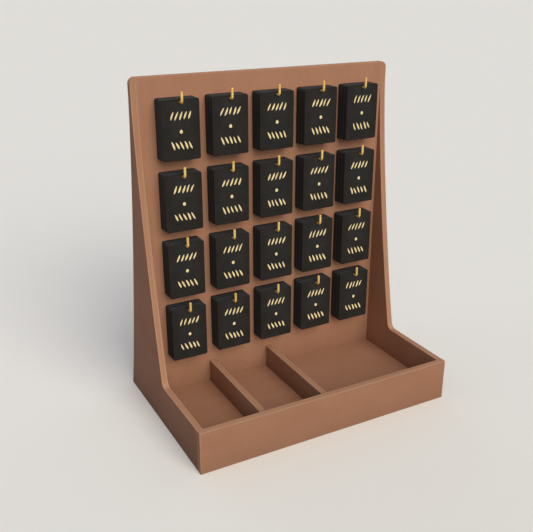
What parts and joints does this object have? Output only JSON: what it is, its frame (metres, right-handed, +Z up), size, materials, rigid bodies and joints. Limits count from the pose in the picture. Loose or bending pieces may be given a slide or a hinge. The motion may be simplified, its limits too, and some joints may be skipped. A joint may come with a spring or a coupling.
{
  "type": "cardboard display stand",
  "caption": "Free-standing cardboard counter display with an upright back panel of peg hooks holding thick hanging cards, flared side panels and a low divided tray in front.",
  "frame": {"origin": "middle of the footprint's bounding box, on the table that the stand rests on", "axes": "+X to the right seen from the front, +Y to the rear, +Z up; the front of the tray faces -Y"},
  "size_m": [0.45, 0.301, 0.54],
  "materials": {
    "kraft_board": "matt kraft-faced board",
    "card_stock": "matt dark card",
    "brass_wire": "polished brass wire"
  },
  "bodies": {
    "root": {"back_panel": "kraft_board", "left_side_panel": "kraft_board", "right_side_panel": "kraft_board", "front_panel": "kraft_board", "tray_floor": "kraft_board", "left_divider": "kraft_board", "centre_divider": "kraft_board", "front_card_row1_col1": "card_stock", "rear_cards_row1_col1": "card_stock", "front_card_row1_col2": "card_stock", "rear_cards_row1_col2": "card_stock", "front_card_row1_col3": "card_stock", "rear_cards_row1_col3": "card_stock", "front_card_row1_col4": "card_stock", "rear_cards_row1_col4": "card_stock", "front_card_row1_col5": "card_stock", "rear_cards_row1_col5": "card_stock", "front_card_row2_col1": "card_stock", "rear_cards_row2_col1": "card_stock", "front_card_row2_col2": "card_stock", "rear_cards_row2_col2": "card_stock", "front_card_row2_col3": "card_stock", "rear_cards_row2_col3": "card_stock", "front_card_row2_col4": "card_stock", "rear_cards_row2_col4": "card_stock", "front_card_row2_col5": "card_stock", "rear_cards_row2_col5": "card_stock", "front_card_row3_col1": "card_stock", "rear_cards_row3_col1": "card_stock", "front_card_row3_col2": "card_stock", "rear_cards_row3_col2": "card_stock", "front_card_row3_col3": "card_stock", "rear_cards_row3_col3": "card_stock", "front_card_row3_col4": "card_stock", "rear_cards_row3_col4": "card_stock", "front_card_row3_col5": "card_stock", "rear_cards_row3_col5": "card_stock", "front_card_row4_col1": "card_stock", "rear_cards_row4_col1": "card_stock", "front_card_row4_col2": "card_stock", "rear_cards_row4_col2": "card_stock", "front_card_row4_col3": "card_stock", "rear_cards_row4_col3": "card_stock", "front_card_row4_col4": "card_stock", "rear_cards_row4_col4": "card_stock", "front_card_row4_col5": "card_stock", "rear_cards_row4_col5": "card_stock", "peg_hooks": "brass_wire"}
  },
  "joints": []
}
